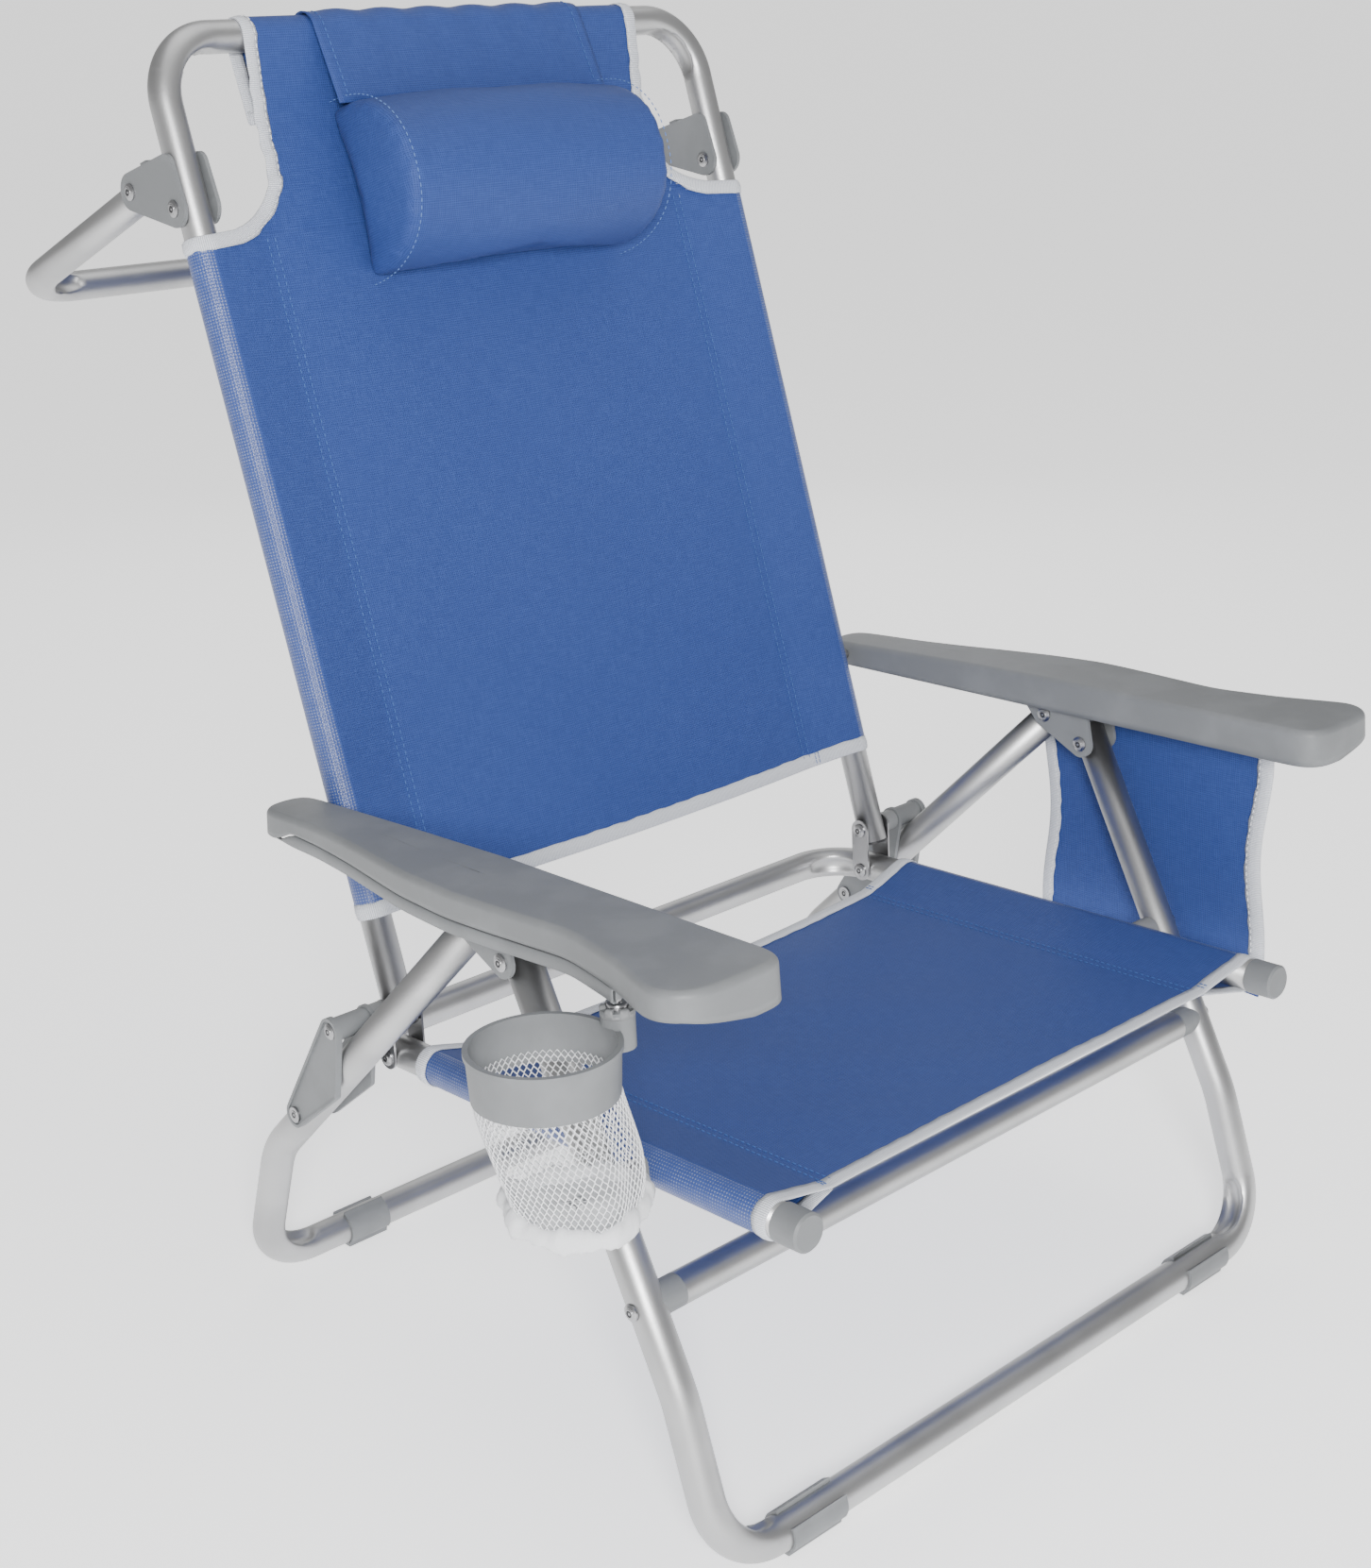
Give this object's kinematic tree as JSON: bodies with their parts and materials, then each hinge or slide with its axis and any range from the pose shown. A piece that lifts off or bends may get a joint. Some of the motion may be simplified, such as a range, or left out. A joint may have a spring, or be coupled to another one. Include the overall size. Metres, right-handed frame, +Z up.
{
  "type": "folding beach chair",
  "caption": "Low folding beach chair with a reclining fabric back, headrest pillow, flared armrests, net cup holder, side pouch and a hinged rear bail.",
  "frame": {"origin": "point on the floor under the middle of the overall box", "axes": "+Z up; the sitter faces -Y; +X is the sitter's left, where the side pouch hangs"},
  "size_m": [0.7791, 0.8652, 0.9431],
  "materials": {
    "tube": "satin anodised",
    "blue_fabric": "coarse woven",
    "rivet": "plated",
    "strap": "plated sheet",
    "grey_plastic": "fine texture",
    "pale_plastic": "smooth",
    "dark_plastic": "smooth",
    "net": "open mesh"
  },
  "bodies": {
    "seat": {"seat_frame": "tube", "seat_caps": "grey_plastic", "seat_sling": "blue_fabric", "hinge_straps": "strap", "strap_rivets": "rivet", "back_hinge_rivets": "rivet", "link_spacers": "pale_plastic", "leg_spacers": "pale_plastic", "leg_pivot_rivets": "rivet"},
    "back": {"back_frame": "tube", "back_plugs": "dark_plastic", "back_sling": "blue_fabric", "headrest_pillow": "blue_fabric", "headrest_flap": "blue_fabric", "arm_studs": "rivet"},
    "bail": {"bail_tube": "tube", "bail_bracket_right": "grey_plastic", "bail_bracket_left": "grey_plastic", "bail_rivets": "rivet", "bail_pivot_rivets": "rivet"},
    "front_leg": {"front_leg": "tube", "front_cross_tube": "tube", "cross_plugs": "grey_plastic", "cross_rivets": "rivet", "front_feet": "grey_plastic"},
    "rear_leg": {"rear_leg": "tube", "rear_feet": "grey_plastic"},
    "link_right": {"rear_link_right": "grey_plastic", "link_rivets_right": "rivet"},
    "link_left": {"rear_link_left": "grey_plastic", "link_rivets_left": "rivet"},
    "arm_right": {"armrest_right": "grey_plastic", "arm_housing_right": "grey_plastic", "arm_rivets_right": "rivet"},
    "arm_left": {"armrest_left": "grey_plastic", "arm_housing_left": "grey_plastic", "arm_rivets_left": "rivet", "side_pouch": "blue_fabric"},
    "cup_holder": {"cup_ring": "grey_plastic", "cup_net": "net", "cup_screw": "rivet"}
  },
  "joints": [
    {"name": "back_recline", "type": "hinge", "parent": "seat", "child": "back", "pos_m": [0.03005, -0.01725, 0.27171], "axis": [1, 0, 0], "range_deg": [-69.5, 105]},
    {"name": "bail_fold", "type": "hinge", "parent": "back", "child": "bail", "pos_m": [0.03005, 0.16075, 0.81952], "axis": [1, 0, 0], "range_deg": [-84, 0]},
    {"name": "leg_fold", "type": "hinge", "parent": "seat", "child": "front_leg", "pos_m": [0.03005, -0.2886, 0.248], "axis": [1, 0, 0], "range_deg": [0, 92]},
    {"name": "arm_right_pivot", "type": "hinge", "parent": "front_leg", "child": "arm_right", "pos_m": [-0.26395, -0.21585, 0.38599], "axis": [1, 0, 0], "range_deg": [-92.02, 0]},
    {"name": "arm_left_pivot", "type": "hinge", "parent": "front_leg", "child": "arm_left", "pos_m": [0.32405, -0.21585, 0.38599], "axis": [1, 0, 0], "range_deg": [-92.02, 0]},
    {"name": "rear_leg_pivot", "type": "hinge", "parent": "arm_right", "child": "rear_leg", "pos_m": [0.03005, -0.17985, 0.40299], "axis": [1, 0, 0], "range_deg": [0, 24.65]},
    {"name": "link_right_pivot", "type": "hinge", "parent": "seat", "child": "link_right", "pos_m": [-0.26395, -0.01725, 0.27171], "axis": [1, 0, 0], "range_deg": [-95.45, 0]},
    {"name": "link_left_pivot", "type": "hinge", "parent": "seat", "child": "link_left", "pos_m": [0.32405, -0.01725, 0.27171], "axis": [1, 0, 0], "range_deg": [-95.45, 0]},
    {"name": "cup_swivel", "type": "hinge", "parent": "arm_right", "child": "cup_holder", "pos_m": [-0.29495, -0.34279, 0.38967], "axis": [0, 0.029, 0.9996], "range_deg": [0, 90]}
  ],
  "couplings": [
    {"joint": "arm_right_pivot", "follows": "leg_fold", "ratio": -1},
    {"joint": "arm_left_pivot", "follows": "leg_fold", "ratio": -1},
    {"joint": "rear_leg_pivot", "follows": "leg_fold", "ratio": 0.26769},
    {"joint": "link_right_pivot", "follows": "leg_fold", "ratio": -1.0372},
    {"joint": "link_left_pivot", "follows": "leg_fold", "ratio": -1.0372}
  ]
}
